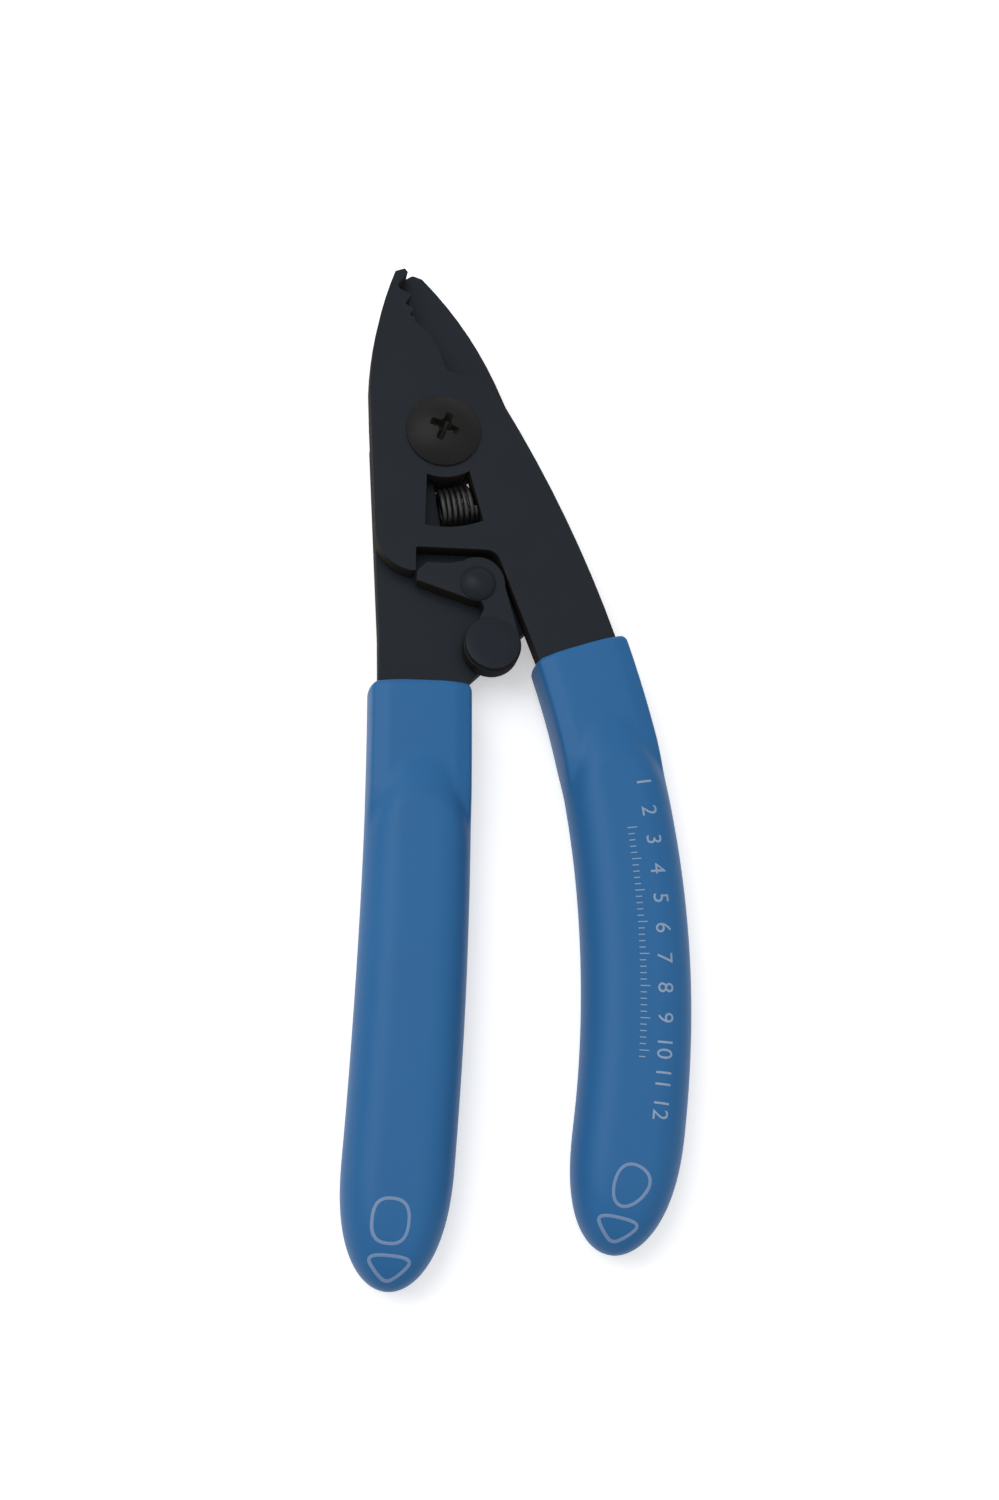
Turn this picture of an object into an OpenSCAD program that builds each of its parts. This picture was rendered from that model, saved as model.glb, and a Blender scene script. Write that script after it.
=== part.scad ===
// Three-notch fibre stripper. Two lapped steel halves turn on a screw, a compression spring in
// their overlapping windows opens them, and a thumb lever on a rivet locks them closed.
// The tool lies on its grips, closed and locked. Plan coordinates start at the pivot axis.

/* [Overall] */
// Height of the tool on the bench, which is the thickness of the grips
grip_t = 13.4; // [12.4:0.1:15]
// X of the pivot axis in the part's frame
pivot_x = -12.65; // [-16:0.05:-10]
// Y of the pivot axis in the part's frame
pivot_y = 53.8; // [50:0.05:58]

/* [Steel halves] */
// Thickness of each half
plate_t = 3.75; // [3.2:0.05:4]
// Gap between the lapped faces
lap_gap = 0.06; // [0.04:0.01:0.2]
// Angle from the closed, locked tool to the open one
open_angle = 11.5; // [6:0.5:11.5]

/* [Jaws] */
// Lean of the cutting line from +Y, to the left
jaw_lean = 14.6; // [12:0.1:16]
// Distance from the pivot to the jaw tips
jaw_reach = 29.1; // [28.5:0.1:32]
// Distance of each cutting edge past the cutting line, at the tip and at its inner end
edge_past = [1.3, 0.2];
// Round fibre that each closed notch leaves room for: jacket, buffer, coating
notch_d = [1.8, 0.9, 0.5];
// Distance from the pivot to each notch
notch_reach = [26.2, 23, 20.9];
// Half angle of the notches' flanks
notch_flank = 40; // [35:1:45]

/* [Pivot] */
// Diameter of the screw's shoulder, which both halves sit on
shoulder_d = 6; // [5:0.1:7]
// Diameter of the screw's thread
thread_d = 5; // [4:0.1:5]
// Radial clearance of a piece that turns
run_gap = 0.05; // [0.03:0.01:0.1]
// Radial clearance of a piece that is fixed
fit_gap = 0.02; // [0.01:0.01:0.05]
// Axial clearance under a head that something turns against
head_gap = 0.04; // [0.02:0.01:0.1]
// Diameter of the screw's head
head_d = 12; // [10:0.1:13]
// Height of the screw's head
head_h = 2.6; // [2:0.1:2.8]
// Height of the head's straight rim
rim_h = 0.7; // [0.4:0.1:1]
// Length of the cross recess, tip to tip
recess_span = 5; // [4:0.1:6]
// Width of the recess's wings
recess_w = 1.25; // [1:0.05:1.5]
// Depth of the recess
recess_h = 1.9; // [1.4:0.1:2.2]
// Turn of the recess from the X axis
recess_turn = -15.5; // [-45:0.5:45]
// Width across the nut's flats
nut_af = 8; // [7.5:0.1:9]
// Height of the nut
nut_h = 2.6; // [2:0.1:2.8]

/* [Spring] */
// Distance from the pivot to the windows' inner and outer arcs
window_r = [7.9, 16.4];
// Half width of a window at its middle
window_half_w = 4.25; // [4.2:0.05:4.5]
// Lean of each side wall from the window's middle line
window_flare = 8.5; // [7:0.5:10]
// Lean of the front half's window from -Y, to the right
window_lean = 7; // [5:0.5:9]
// Radius of the windows' corners
window_corner = 0.8; // [0.4:0.1:1]
// Outer diameter of the spring
spring_d = 7.2; // [6.5:0.1:7.4]
// Diameter of the spring's wire
wire_d = 0.85; // [0.7:0.05:0.9]
// Turns of the spring
spring_turns = 5; // [4:0.5:5]

/* [Lock] */
// Centre of the lever's rivet
rivet_at = [5.78, -25.63];
// Diameter of the rivet's shank
rivet_d = 3.2; // [2.8:0.1:3.6]
// Diameter of the rivet's domed head
rivet_head_d = 5.7; // [5:0.1:5.8]
// Height of the rivet's domed head
rivet_head_h = 1.5; // [1:0.1:1.8]
// Diameter of the rivet's closed end
rivet_tail_d = 4.8; // [4.4:0.1:5.4]
// Height of the rivet's closed end
rivet_tail_h = 0.8; // [0.5:0.1:1.2]
// Thickness of the lever
lever_t = 3.15; // [2.6:0.05:3.2]
// Thickness of the friction washer under the lever
washer_t = 0.36; // [0.3:0.01:0.4]
// Outer diameter of the friction washer
washer_d = 5.6; // [5:0.1:5.8]
// Radius of the lever's hub, above the rivet
hub_r = 4.5; // [4.2:0.05:4.6]
// Centre of the thumb pad, from the rivet
pad_from_rivet = [2.4, -10.1];
// Diameter of the thumb pad
pad_d = 9.3; // [8:0.1:9.6]

/* [Grips] */
// Length of the left and right grips along their middle lines
grip_len = [94.5, 96.8];
// Width of the left and right grips at the mouth
grip_w = [16.5, 15.9];
// Width of both grips at their widest
belly_w = 17.2; // [16.8:0.1:18]
// Distance from the mouth to the widest place
belly_u = 60; // [40:1:70]
// Thickness of the flat sleeve at the top of each grip
sleeve_t = 10.2; // [9.8:0.1:11]
// Length of the flat sleeve, up to where the body swells
sleeve_len = 11; // [9:0.5:14]
// Length over which the body swells to its full thickness
swell_len = 10; // [8:0.5:14]
// Length of the rounded end
end_len = 20; // [14:0.5:24]
// Half width of the flat land along the body, as a share of half the width
land_share = 0.31; // [0.25:0.01:0.4]
// Bend radius of the left and right grips' middle lines
grip_bend = [890, 172];
// Middle of each grip's mouth
grip_mouth = [[-3.12, -42.5], [22.45, -35.6]];
// Direction of each grip's middle line at its mouth, from -Y, to the right
grip_lean = [0.4, 18.5];
// Length of the steel tang inside each grip
tang_len = 78; // [60:1:80]
// Half width of the tang at its end
tang_end = 4.5; // [3.5:0.1:5]
// Gap between tang and grip
tang_gap = 0.03; // [0.01:0.01:0.1]

/* [Hidden] */
$fn = 96;

eps = 0.01;
steel = [0.17, 0.19, 0.22];
dark_steel = [0.14, 0.13, 0.13];
blue = [0.23, 0.42, 0.6];

// Heights of the lapped plates and of what lies on them
rear_z = (grip_t - 2 * plate_t - lap_gap) / 2;
front_z = rear_z + plate_t + lap_gap;
top_z = front_z + plate_t;
lever_z = rear_z + plate_t + washer_t + head_gap;
mid_z = grip_t / 2;

// ---------- Plan geometry ----------

function side_of(v) = [-v[1], v[0]];
function unit(v) = v / norm(v);
function polar(r, a) = r * [cos(a), sin(a)];
function turned(p, a) = [p[0] * cos(a) - p[1] * sin(a), p[0] * sin(a) + p[1] * cos(a)];
function arc_pts(c, r, a, b, n) = [for (i = [0:n]) c + polar(r, a + (b - a) * i / n)];

// Arc from a to b that stands out by s on the left of the way from a to b
function bow(a, b, s, n = 8) =
    let (c = norm(b - a), r = (c * c / 4 + s * s) / (2 * abs(s)),
         o = (a + b) / 2 + side_of(unit(b - a)) * (s - sign(s) * r),
         from = atan2(a[1] - o[1], a[0] - o[0]), to = atan2(b[1] - o[1], b[0] - o[0]),
         sweep = (to - from + 900) % 360 - 180)
    arc_pts(o, r, from, from + sweep, n);

// A corner [x, y, r] between its neighbours becomes an arc of radius r
function corner(a, p, b, n = 5) =
    len(p) < 3 ? [p] :
    let (at = [p[0], p[1]], u = unit([a[0], a[1]] - at), v = unit([b[0], b[1]] - at),
         half = acos(u * v) / 2, t = p[2] / tan(half), o = at + unit(u + v) * p[2] / sin(half),
         s = at + u * t - o, e = at + v * t - o, from = atan2(s[1], s[0]),
         sweep = (atan2(e[1], e[0]) - from + 900) % 360 - 180)
    arc_pts(o, p[2], from, from + sweep, n);
function rounded(c) =
    let (n = len(c)) [for (i = [0:n - 1]) each corner(c[(i + n - 1) % n], c[i], c[(i + 1) % n])];

// Point of the jaws at distance r along the cutting line and s to its right
function on_jaw(r, s) = turned([s, r], jaw_lean);
// The same point with the sides of the cutting line exchanged
function across_jaw(p) =
    let (q = turned([p[0], p[1]], -jaw_lean), m = turned([-q[0], q[1]], jaw_lean))
    len(p) > 2 ? [m[0], m[1], p[2]] : m;
function reversed(c) = [for (i = [len(c) - 1:-1:0]) c[i]];

// Point of grip k, u along its middle line from the mouth and s to the right of it
function grip_centre(k) = grip_mouth[k] - polar(grip_bend[k], grip_lean[k]);
function on_grip(k, u, s) =
    grip_centre(k) + polar(grip_bend[k] + s, grip_lean[k] - u / grip_bend[k] * 180 / PI);

// ---------- Steel halves ----------

// Half widths of each tang at the grip's mouth, on its left and right
tang_mouth = [[6.55, 6.6], [7.2, 5.95]];
// Edge of a tang inside its grip, from the mouth to the end; side is -1 or 1
function tang_edge(k, side) =
    [for (i = [0:7]) let (w = tang_mouth[k][side < 0 ? 0 : 1])
        on_grip(k, tang_len * i / 7, side * (w + (tang_end - w) * i / 7))];
function tang_outline(k) = let (end = tang_end * 0.8)
    concat(tang_edge(k, 1),
           [for (p = reversed(arc_pts([0, 0], tang_end, -150, -30, 6)))
               on_grip(k, tang_len - end * 0.2 - p[1] * 0.8, p[0])],
           reversed(tang_edge(k, -1)));

// Where the cutting edge ends and the relief beside the pivot begins, along the cutting line
edge_end = 19.6;
// Relief from the cutting edge to the outline on the other side, beside the pivot
relief = concat(bow(on_jaw(edge_end, edge_past[1]), [0.1, 11.6], 0.8, 6), [[0.9, 10.4, 1.2], [6.3, 9.35, 2.5]]);
// Corner where the relief meets the outline
relief_end = [10.1, 5];
// Left outline of the head, from the jaw down to the lobe
shoulder_left = [-12, 7];
lobe_left = [-10.8, -17.5];
// Lowest point of the lobe, which the lock catches, and the notch that the lever lies in
lobe_catch = [-4.25, -23.95];
notch_top = -19.95;
notch_bend = [8.75, notch_top];

front_outline = rounded(concat(
    [on_jaw(jaw_reach, 0.85)],
    [on_jaw(jaw_reach - 1, edge_past[0])],
    relief,
    bow(relief_end, on_grip(1, 0, tang_mouth[1][1]), 1.1),
    tang_outline(1),
    [[notch_bend[0], notch_bend[1], 2.4], [lobe_catch[0], notch_top, 0.3], [lobe_catch[0], lobe_catch[1], 0.2]],
    bow(lobe_catch - [0.9, 0.05], lobe_left, 1.5),
    bow(lobe_left, shoulder_left, 0.1, 4),
    bow(shoulder_left, on_jaw(jaw_reach - 0.15, -0.8), 0.9)));

// Outline of the rear jaw and of the wide lap under the front half
rear_tip = on_jaw(jaw_reach + 0.1, 2.6);
rear_shoulder = [10.3, 7.5];
lap_corner = [23.5, -23.1, 1.5];
rear_outline = rounded(concat(
    [on_jaw(jaw_reach - 1.2, -edge_past[0]), [rear_tip[0], rear_tip[1], 0.8]],
    bow([-3.2, 28.35], rear_shoulder, 1.25),
    [lap_corner],
    tang_outline(0),
    [[-9.7, -34], [-10.45, -16.5], [-11.35, -1.5, 3]],
    reversed([for (p = relief) across_jaw(p)])));

// Notch i: a V whose flanks leave room for the round fibre, open towards the side of dir
module notch(i, dir) {
    tip = notch_d[i] / 2 / sin(notch_flank);
    mouth = 2;
    polygon(rounded([for (p = [[-tip, 0, notch_d[i] * 0.4], [mouth, -(tip + mouth) * tan(notch_flank)],
                               [mouth, (tip + mouth) * tan(notch_flank)]])
        let (q = on_jaw(notch_reach[i] + p[1], dir * p[0])) len(p) > 2 ? [q[0], q[1], p[2]] : q]));
}

// Window for the spring, whose middle line leans from -Y by the given angle
module window(lean) {
    mid = (window_r[0] + window_r[1]) / 2;
    reach = window_r[1] + 2;
    intersection() {
        difference() {
            circle(r = window_r[1]);
            circle(r = window_r[0]);
        }
        rotate(lean)
            polygon([for (p = [[-1, 0], [-1, reach], [1, reach], [1, 0]])
                [p[0] * (window_half_w + (p[1] - mid) * tan(window_flare)), -p[1]]]);
    }
}

module front_half() {
    color(steel) at_pivot() difference() {
        translate([0, 0, front_z]) linear_extrude(plate_t) polygon(front_outline);
        translate([0, 0, front_z - eps]) linear_extrude(plate_t + 2 * eps) {
            for (i = [0:2]) notch(i, 1);
            window(window_lean);
        }
        translate([0, 0, front_z - eps]) cylinder(r = shoulder_d / 2 + run_gap, h = plate_t + 2 * eps);
    }
}

module rear_half() {
    color(steel) at_pivot() difference() {
        translate([0, 0, rear_z]) linear_extrude(plate_t) polygon(rear_outline);
        translate([0, 0, rear_z - eps]) linear_extrude(plate_t + 2 * eps) {
            for (i = [0:2]) notch(i, -1);
            window(window_lean + open_angle);
        }
        translate([0, 0, rear_z - eps]) {
            cylinder(r = shoulder_d / 2 + fit_gap, h = plate_t + 2 * eps);
            translate(rivet_at) cylinder(r = rivet_d / 2 + fit_gap, h = plate_t + 2 * eps);
        }
    }
}

// ---------- Pivot ----------

module at_pivot() { translate([pivot_x, pivot_y, 0]) children(); }

// Dome of diameter d and height h with a straight rim, standing on z = 0
module dome(d, h, rim) {
    r = (d * d / 4 + (h - rim) * (h - rim)) / (2 * (h - rim));
    intersection() {
        cylinder(d = d, h = h + eps);
        translate([0, 0, h - r]) sphere(r = r);
    }
}

module recess() {
    for (a = [0, 90]) rotate(recess_turn + a) rotate([90, 0, 0])
        linear_extrude(recess_w, center = true)
            polygon([[-recess_span / 2, 1], [-recess_span / 2, -0.3], [-recess_w / 2, -recess_h],
                     [recess_w / 2, -recess_h], [recess_span / 2, -0.3], [recess_span / 2, 1]]);
}

module pivot_screw() {
    color(dark_steel) at_pivot() difference() {
        union() {
            translate([0, 0, top_z + head_gap]) dome(head_d, head_h, rim_h);
            translate([0, 0, rear_z]) cylinder(d = shoulder_d, h = top_z - rear_z + rim_h);
            translate([0, 0, rear_z - nut_h]) cylinder(d = thread_d, h = nut_h + eps);
        }
        translate([0, 0, top_z + head_gap + head_h]) recess();
    }
}

module pivot_nut() {
    color(dark_steel) at_pivot() translate([0, 0, rear_z - nut_h]) difference() {
        intersection() {
            cylinder(d = nut_af / cos(30), h = nut_h, $fn = 6);
            translate([0, 0, -eps]) cylinder(d1 = nut_af - 0.2, d2 = nut_af + 2 * nut_h, h = nut_h + 2 * eps);
        }
        translate([0, 0, -eps]) cylinder(r = thread_d / 2 + fit_gap, h = nut_h + 2 * eps);
    }
}

// ---------- Spring ----------

spring_r = (window_r[0] + window_r[1]) / 2;
// Half the way between the walls that the closed tool squeezes the spring with, at its inner edge
squeeze = window_half_w * cos(open_angle / 2) - spring_r * sin(open_angle / 2)
    - spring_d / 2 * tan(max(0, window_flare - open_angle / 2));
spring_len = 2 * squeeze - 0.1;

module return_spring() {
    sides = 8;
    steps = 16;
    rings = spring_turns * steps;
    coil_r = (spring_d - wire_d) / 2;
    function ring(i) = [for (j = [0:sides - 1])
        let (a = 360 * i / steps, b = 360 * j / sides, r = coil_r + wire_d / 2 * cos(b))
        [r * cos(a), r * sin(a), (spring_len - wire_d) * (i / rings - 0.5) + wire_d / 2 * sin(b)]];
    color(dark_steel) at_pivot()
        rotate(window_lean + open_angle / 2) translate([0, -spring_r, mid_z]) rotate([0, 90, 0])
            polyhedron([for (i = [0:rings]) each ring(i)],
                concat([[for (j = [0:sides - 1]) j]],
                       [for (i = [0:rings - 1], j = [0:sides - 1])
                           let (a = i * sides + j, b = i * sides + (j + 1) % sides)
                           [a, a + sides, b + sides, b]],
                       [[for (j = [sides - 1:-1:0]) rings * sides + j]]));
}

// ---------- Lock ----------

pad_at = rivet_at + pad_from_rivet;
// Gap between the lever's nose and the lobe that it holds
catch_gap = 0.2;
nose_x = lobe_catch[0] + catch_gap;
nose_top = -22.3;
nose_low = -25.5;
neck_r = rivet_head_d / 2 + 0.1;
lever_outline = rounded(concat(
    [[nose_x, nose_low, 0.3]],
    arc_pts(rivet_at, neck_r, -108, -80, 3),
    [[6.9, -29.6, 0.7]],
    arc_pts(pad_at, pad_d / 2, 118, 368, 30),
    arc_pts(rivet_at, hub_r, -4, 122, 14),
    [[1.3, nose_top, 0.6], [nose_x + 1.55, nose_top, 0.2], [nose_x, nose_top - 1.6, 0.2]]));

module lock_lever() {
    color(steel) at_pivot() translate([0, 0, lever_z]) difference() {
        linear_extrude(lever_t) polygon(lever_outline);
        translate([rivet_at[0], rivet_at[1], -eps]) cylinder(r = rivet_d / 2 + run_gap, h = lever_t + 2 * eps);
    }
}

module lock_rivet() {
    head_z = lever_z + lever_t + head_gap;
    color(dark_steel) at_pivot() translate(rivet_at) {
        translate([0, 0, head_z]) dome(rivet_head_d, rivet_head_h, 0.2);
        translate([0, 0, rear_z - rivet_tail_h / 2]) cylinder(d = rivet_d, h = head_z - rear_z + rivet_tail_h / 2 + eps);
        translate([0, 0, rear_z]) mirror([0, 0, 1]) dome(rivet_tail_d, rivet_tail_h, 0.2);
    }
}

module lock_washer() {
    color(dark_steel) at_pivot() translate([rivet_at[0], rivet_at[1], rear_z + plate_t]) difference() {
        cylinder(d = washer_d, h = washer_t);
        translate([0, 0, -eps]) cylinder(r = rivet_d / 2 + run_gap, h = washer_t + 2 * eps);
    }
}

// ---------- Grips ----------

function smooth(t) = let (q = min(1, max(0, t))) q * q * (3 - 2 * q);

// Half width of grip k at u: rounded at the mouth, swelling along the body, rounded at the end
function half_w(k, u) =
    let (e = max(0, 1 - (grip_len[k] - u) / end_len), m = max(0, 1 - u / 1.2),
         w = grip_w[k] + (belly_w - grip_w[k]) * smooth(u / belly_u))
    w / 2 * sqrt(max(0, 1 - pow(e, 2.8))) - 1.1 * (1 - sqrt(1 - m * m));

// Half thickness at u and at share q of the half width: the higher of sleeve and body
function half_t(k, u, q) =
    let (e = max(0, 1 - (grip_len[k] - u) / end_len), round_end = sqrt(max(0, 1 - pow(e, 3.2))),
         m = max(0, 1 - u / 0.8), fade = smooth((u - sleeve_len) / swell_len),
         sleeve = (sleeve_t / 2 - 0.5 * (1 - sqrt(1 - m * m))) * (1 - 0.35 * fade) * pow(1 - pow(q, 5), 0.2),
         f = max(0, (q - land_share) / (1 - land_share)),
         swell = 0.68 + 0.32 * smooth((u - sleeve_len + 2) / (swell_len + 2)),
         body = grip_t / 2 * swell * pow(1 - pow(f, 2.2), 1 / 2.2))
    max(sleeve, body) * round_end;

function stations(k) = let (body = sleeve_len + swell_len + 1, end = grip_len[k] - end_len)
    concat([0, 0.3, 0.7, 1.3, 6],
           [for (i = [0:8]) sleeve_len - 2 + i * (swell_len + 3) / 8],
           [for (i = [1:6]) body + i * (end - body) / 7],
           [for (i = [0:12]) end + end_len * sin(i * 7.1)]);

// Closed body of grip k, from rings of points across its middle line
module grip_body(k) {
    half = 14;
    sides = 2 * half;
    function ring(u) = [for (j = [0:sides - 1])
        let (top = j < half, a = -90 + 180 * (j % half) / half, q = sin(a) * (top ? 1 : -1),
             p = on_grip(k, u, q * half_w(k, u)))
        [p[0], p[1], mid_z + (top ? 1 : -1) * half_t(k, u, abs(q))]];
    at = stations(k);
    n = len(at);
    polyhedron([for (u = at) each ring(u)],
        concat([[for (j = [0:sides - 1]) j]],
               [for (i = [0:n - 2], j = [0:sides - 1])
                   let (a = i * sides + j, b = i * sides + (j + 1) % sides)
                   each [[a, a + sides, b + sides], [a, b + sides, b]]],
               [[for (j = [sides - 1:-1:0]) (n - 1) * sides + j]]));
}

// Pocket for the tang of half k, whose plate starts at height z
module tang_pocket(k, z) {
    translate([0, 0, z - tang_gap]) linear_extrude(plate_t + 2 * tang_gap)
        polygon(k == 0 ? rear_outline : front_outline);
}

module left_grip() {
    color(blue) at_pivot() difference() {
        grip_body(0);
        tang_pocket(0, rear_z);
    }
}

module right_grip() {
    color(blue) at_pivot() difference() {
        grip_body(1);
        tang_pocket(1, front_z);
    }
}

rear_half();
front_half();
pivot_screw();
pivot_nut();
return_spring();
lock_lever();
lock_rivet();
lock_washer();
left_grip();
right_grip();
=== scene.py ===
"""A three-notch fibre stripper: black steel halves, spring, thumb lock and blue moulded grips."""

import logging
import math
from dataclasses import dataclass
from enum import Enum
from typing import Sequence, Union

import bmesh
import bpy
from mathutils import Matrix, Vector


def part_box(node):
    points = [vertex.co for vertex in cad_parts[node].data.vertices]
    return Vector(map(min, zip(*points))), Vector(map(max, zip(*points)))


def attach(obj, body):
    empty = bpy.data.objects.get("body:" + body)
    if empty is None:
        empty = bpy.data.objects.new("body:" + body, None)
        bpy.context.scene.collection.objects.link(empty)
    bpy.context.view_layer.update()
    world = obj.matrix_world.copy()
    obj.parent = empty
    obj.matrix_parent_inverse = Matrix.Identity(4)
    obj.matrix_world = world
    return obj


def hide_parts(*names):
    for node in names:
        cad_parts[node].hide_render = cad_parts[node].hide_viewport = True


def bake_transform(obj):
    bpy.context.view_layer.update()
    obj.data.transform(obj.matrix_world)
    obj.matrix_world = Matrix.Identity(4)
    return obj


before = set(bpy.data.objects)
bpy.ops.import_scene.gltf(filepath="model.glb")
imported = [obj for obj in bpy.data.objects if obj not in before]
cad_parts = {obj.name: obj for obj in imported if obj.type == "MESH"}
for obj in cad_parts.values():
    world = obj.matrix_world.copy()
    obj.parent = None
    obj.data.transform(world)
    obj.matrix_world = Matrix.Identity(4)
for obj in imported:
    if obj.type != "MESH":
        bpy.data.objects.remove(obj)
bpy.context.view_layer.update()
LOG = logging.getLogger("stripper")
MM = 0.001
Colour = tuple[float, float, float]
Point2 = tuple[float, float]
BLACK = (0.0, 0.0, 0.0)
WHITE = (1.0, 1.0, 1.0)
# Radius of a ring that closes a body, in millimetres
CLOSING = 0.01
# Least divisor
TINY = 1e-6
# Detail of a noise with few octaves, and the least roughness of a finish
PLAIN_DETAIL = 2.0
LEAST_ROUGH = 0.05


class Slot(Enum):
    """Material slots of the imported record."""

    STEEL = "black_steel"
    HARDWARE = "dark_hardware"
    SPRING = "spring_steel"
    GRIP = "blue_grip"


def held(value: float, low: float = 0.0, high: float = 1.0) -> float:
    """Returns the value held between low and high."""
    return min(high, max(low, value))


def smooth_step(value: float) -> float:
    """Returns the smooth step of a value held between 0 and 1."""
    t = held(value)
    return t * t * (3.0 - 2.0 * t)


def middle(node: str) -> Vector:
    """Returns the middle of a CAD node's box."""
    low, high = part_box(node)
    return (Vector(low) + Vector(high)) / 2


def around(radius: float, angle: float, height: float) -> Vector:
    """Returns the point at a radius, an angle in radians and a height."""
    return Vector((radius * math.cos(angle), radius * math.sin(angle), height))


def circle(sides: int) -> list[float]:
    """Returns the angles in radians of the corners of a regular polygon."""
    return [2 * math.pi * j / sides for j in range(sides)]


PIVOT = middle("pivot_screw")
PIVOT.z = 0.0


# ---------- Shader graph ----------

Value = Union[float, "Wire"]


class Wire:
    """An output socket that builds Math nodes when it is used in an expression."""

    def __init__(self, graph: "Graph", socket: bpy.types.NodeSocket | None) -> None:
        """Keeps the graph and the socket, which a closing node doesn't have."""
        self.graph = graph
        self.socket = socket

    def _math(self, operation: str, *values: Value) -> "Wire":
        """Adds a Math node.

        Args:
            operation: the node's operation.
            values: its inputs, in order.

        Returns:
            The node's output.
        """
        return self.graph.node("ShaderNodeMath", {"operation": operation}, dict(enumerate(values)))

    def __add__(self, other: Value) -> "Wire":
        """Returns self + other."""
        return self._math("ADD", self, other)

    def __radd__(self, other: Value) -> "Wire":
        """Returns other + self."""
        return self._math("ADD", other, self)

    def __sub__(self, other: Value) -> "Wire":
        """Returns self - other."""
        return self._math("SUBTRACT", self, other)

    def __rsub__(self, other: Value) -> "Wire":
        """Returns other - self."""
        return self._math("SUBTRACT", other, self)

    def __mul__(self, other: Value) -> "Wire":
        """Returns self * other."""
        return self._math("MULTIPLY", self, other)

    def __rmul__(self, other: Value) -> "Wire":
        """Returns other * self."""
        return self._math("MULTIPLY", other, self)

    def larger(self, other: Value) -> "Wire":
        """Returns the larger of the two values."""
        return self._math("MAXIMUM", self, other)

    def clamp(self, low: float = 0.0, high: float = 1.0) -> "Wire":
        """Returns the value held between low and high."""
        return self._math("MINIMUM", self.larger(low), high)


class Graph:
    """The node tree of a material or a world, with one method that creates every node."""

    def __init__(self, owner: bpy.types.Material | bpy.types.World) -> None:
        """Empties the owner's node tree.

        Args:
            owner: the material or the world.
        """
        owner.use_nodes = True
        self.owner = owner
        self.tree = owner.node_tree
        self.tree.nodes.clear()

    def node(self, kind: str, settings: dict | None = None, inputs: dict | None = None,
             output: Union[int, str] = 0) -> Wire:
        """Creates a node.

        Args:
            kind: the node's type.
            settings: attributes, set first.
            inputs: values or wires by socket name or index.
            output: the socket that is returned.

        Returns:
            The chosen output.
        """
        made = self.tree.nodes.new(kind)
        for key, value in (settings or {}).items():
            setattr(made, key, value)
        for key, value in (inputs or {}).items():
            if isinstance(value, Wire):
                self.tree.links.new(value.socket, made.inputs[key])
            else:
                made.inputs[key].default_value = value
        return Wire(self, made.outputs[output] if made.outputs else None)

    def place(self) -> Wire:
        """Returns the object coordinates."""
        return self.node("ShaderNodeTexCoord", output="Object")

    def ray(self, kind: str) -> Wire:
        """Returns 1 for rays of a kind, such as Is Camera Ray, and 0 for others."""
        return self.node("ShaderNodeLightPath", output=kind)

    def noise(self, cells: float, detail: float = 3.0) -> Wire:
        """Returns a noise from 0 to 1 in object coordinates, with this many cells to the metre."""
        return self.node("ShaderNodeTexNoise", {}, {
            "Vector": self.place(), "Scale": cells, "Detail": detail, "Roughness": 0.5})

    def mix(self, factor: Value, first: Colour | Wire, second: Colour | Wire) -> Wire:
        """Mixes two colours.

        Args:
            factor: 0 for the first colour, 1 for the second.
            first: a colour or a wire.
            second: a colour or a wire.

        Returns:
            The colour between them.
        """
        one, other = (c if isinstance(c, Wire) else (*c, 1.0) for c in (first, second))
        return self.node("ShaderNodeMix", {"data_type": "RGBA"}, {0: factor, 6: one, 7: other}, 2)

    def bump(self, height: Wire, distance: float, strength: float) -> Wire:
        """Returns a normal for a height from 0 to 1 that stands for this distance in metres."""
        return self.node("ShaderNodeBump", {}, {
            "Height": height, "Distance": distance, "Strength": strength}, "Normal")

    def finish(self, inputs: dict) -> bpy.types.Material:
        """Adds the shader and the output.

        Args:
            inputs: the shader's values and wires by socket name.

        Returns:
            The material.
        """
        shader = self.node("ShaderNodeBsdfPrincipled", {}, inputs, "BSDF")
        self.node("ShaderNodeOutputMaterial", {}, {"Surface": shader})
        return self.owner


# ---------- Finishes ----------

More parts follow.
